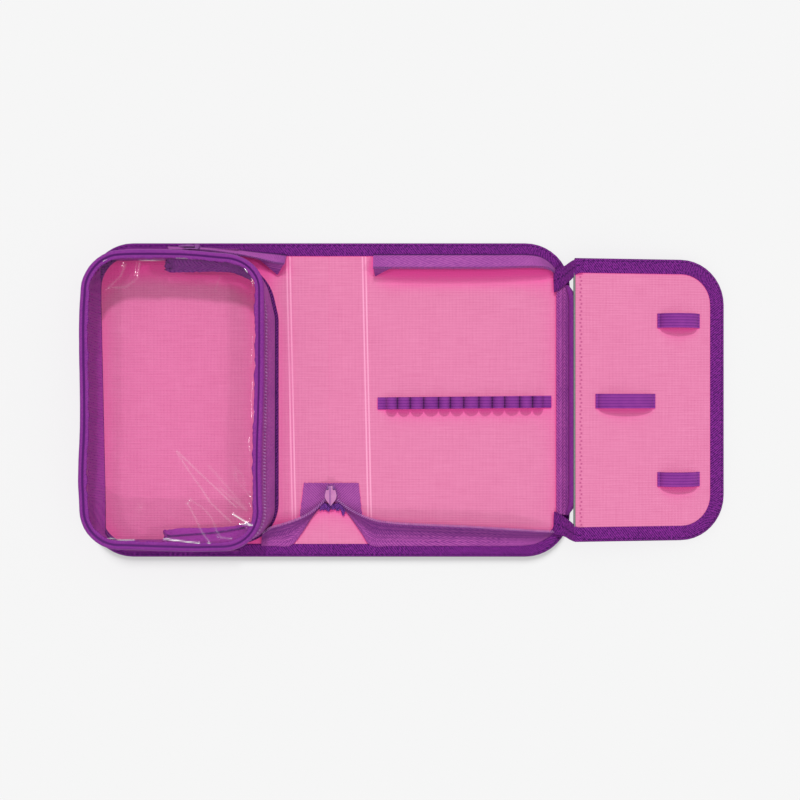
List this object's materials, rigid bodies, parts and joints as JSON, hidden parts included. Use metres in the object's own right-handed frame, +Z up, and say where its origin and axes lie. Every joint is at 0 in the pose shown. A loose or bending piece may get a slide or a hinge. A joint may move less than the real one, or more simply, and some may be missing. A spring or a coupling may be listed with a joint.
{
  "type": "expandable pencil case",
  "caption": "Zip-round pencil case lying open: stiff bound panels, spine, elastic pencil loops, folding flap and a raised clear-window pocket.",
  "frame": {"origin": "middle of the spine, on its underside", "axes": "+X from the pocket to the flap, +Y along the spine away from the zip's tail, +Z up from the table"},
  "size_m": [0.4244, 0.2094, 0.031],
  "materials": {
    "lining_weave": "woven",
    "cover_weave": "woven",
    "grosgrain": "ribbed",
    "board": "pressed",
    "zip_tape": "twill",
    "zip_teeth": "moulded",
    "slider_metal": "lacquered",
    "pull_plastic": "moulded",
    "elastic": "ribbed",
    "gusset_cloth": "woven",
    "piping": "coated",
    "clear_pvc": "clear"
  },
  "bodies": {
    "spine": {"spine_cover": "cover_weave", "spine_board": "board", "spine_lining": "lining_weave", "spine_binding_bottom": "grosgrain", "spine_binding_top": "grosgrain", "left_fold_web": "lining_weave", "right_fold_web": "lining_weave", "zip_tail_tab": "zip_tape", "zip_tail_chain": "zip_teeth", "left_bridge_tape": "zip_tape", "left_bridge_teeth": "zip_teeth", "right_bridge_tape": "zip_tape", "right_bridge_teeth": "zip_teeth"},
    "left_panel": {"left_cover": "cover_weave", "left_board": "board", "left_lining": "lining_weave", "left_binding": "grosgrain", "left_zip_tape": "zip_tape", "left_zip_teeth": "zip_teeth", "left_zip_standing_tape": "zip_tape", "pocket_base_binding": "grosgrain", "pocket_gusset": "gusset_cloth"},
    "right_panel": {"right_cover": "cover_weave", "right_board": "board", "right_lining": "lining_weave", "right_binding": "grosgrain", "right_zip_tape": "zip_tape", "right_zip_teeth": "zip_teeth", "right_zip_side_tape": "zip_tape", "pencil_loop_band": "elastic"},
    "flap_strip": {"flap_hinge_tape": "zip_tape", "flap_hinge_cord": "grosgrain", "flap_ribbon_top": "grosgrain", "flap_ribbon_bottom": "grosgrain"},
    "flap": {"flap_cover": "cover_weave", "flap_board": "board", "flap_lining": "lining_weave", "flap_binding": "grosgrain", "flap_loop_top": "elastic", "flap_loop_middle": "elastic", "flap_loop_bottom": "elastic"},
    "zip_slider": {"zip_slider": "slider_metal"},
    "zip_pull": {"zip_pull": "pull_plastic"},
    "pocket_top": {"pocket_lower_tape": "zip_tape", "pocket_lower_teeth": "zip_teeth", "pocket_fixed_wall": "gusset_cloth", "pocket_fixed_piping": "piping", "pocket_fixed_window": "clear_pvc"},
    "pocket_lid": {"pocket_upper_tape": "zip_tape", "pocket_upper_teeth": "zip_teeth", "pocket_lid_piping": "piping", "pocket_lid_window": "clear_pvc"},
    "pocket_slider": {"pocket_slider": "slider_metal"},
    "pocket_pull": {"pocket_pull": "pull_plastic"}
  },
  "joints": [
    {"name": "left_fold", "type": "hinge", "parent": "spine", "child": "left_panel", "pos_m": [-0.02525, 0, 0], "axis": [0, 1, 0], "range_deg": [0, 90], "deforming": ["left_fold_web", "left_bridge_tape", "left_bridge_teeth"]},
    {"name": "right_fold", "type": "hinge", "parent": "spine", "child": "right_panel", "pos_m": [0.02525, 0, 0], "axis": [0, -1, 0], "range_deg": [0, 90], "deforming": ["right_fold_web", "right_bridge_tape", "right_bridge_teeth"]},
    {"name": "strip_hinge", "type": "hinge", "parent": "right_panel", "child": "flap_strip", "pos_m": [0.1512, 0, 0.0039], "axis": [0, -1, 0], "range_deg": [0, 49.81]},
    {"name": "flap_hinge", "type": "hinge", "parent": "flap_strip", "child": "flap", "pos_m": [0.1633, 0, 0.01412], "axis": [0, -1, 0], "range_deg": [0, 137.39]},
    {"name": "main_zip_slide", "type": "slide", "parent": "spine", "child": "zip_slider", "axis": [0, 1, 0], "range_m": [-0.0015, 0.0015]},
    {"name": "zip_pull_turn", "type": "hinge", "parent": "zip_slider", "child": "zip_pull", "pos_m": [0.0013, -0.0578, 0.0086], "axis": [-1, 0, 0], "range_deg": [0, 170]},
    {"name": "pocket_expand", "type": "slide", "parent": "left_panel", "child": "pocket_top", "axis": [0, 0, -1], "range_m": [0, 0.0075], "deforming": ["pocket_gusset"]},
    {"name": "lid_hinge", "type": "hinge", "parent": "pocket_top", "child": "pocket_lid", "pos_m": [-0.10717, 0, 0.031], "axis": [0, 1, 0], "range_deg": [-60, 0]},
    {"name": "pocket_zip_slide", "type": "slide", "parent": "pocket_top", "child": "pocket_slider", "axis": [1, 0, 0], "range_m": [-0.012, 0.012]},
    {"name": "pocket_pull_turn", "type": "hinge", "parent": "pocket_slider", "child": "pocket_pull", "pos_m": [-0.08457, 0.1, 0.021], "axis": [0, 0, -1], "range_deg": [0, 170]}
  ]
}
